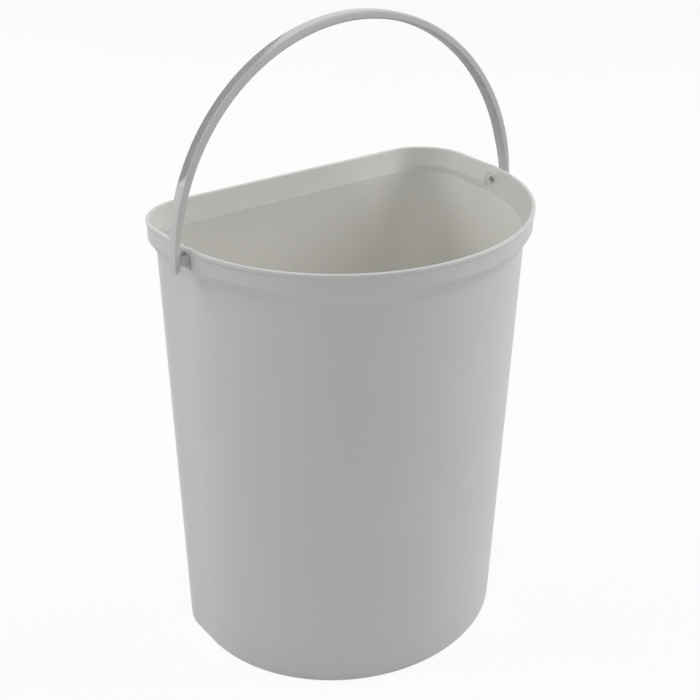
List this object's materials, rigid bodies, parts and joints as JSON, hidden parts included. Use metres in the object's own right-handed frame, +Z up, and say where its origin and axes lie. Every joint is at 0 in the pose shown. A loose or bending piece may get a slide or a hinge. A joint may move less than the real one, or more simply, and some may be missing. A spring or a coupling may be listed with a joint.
{
  "type": "waste bucket",
  "caption": "Open D-shaped plastic waste bucket with a flat back, round front, stepped collar and rim bead, and an arched moulded bail handle swinging on pegs in the collar's side pockets.",
  "frame": {"origin": "on the floor, under the middle of the rim's width and depth", "axes": "+X to the right, +Y towards the flat back, +Z up"},
  "size_m": [0.2756, 0.188, 0.4452],
  "materials": {
    "bucket_plastic": "fine matte moulding, pale grey",
    "bail_plastic": "smooth satin moulding, pale grey"
  },
  "bodies": {
    "bucket": {"bucket": "bucket_plastic"},
    "bail": {"bail_handle": "bail_plastic"}
  },
  "joints": [
    {"name": "bail_hinge", "type": "hinge", "parent": "bucket", "child": "bail", "pos_m": [0, 0.018, 0.311], "axis": [1, 0, 0], "range_deg": [-53, 124]}
  ]
}
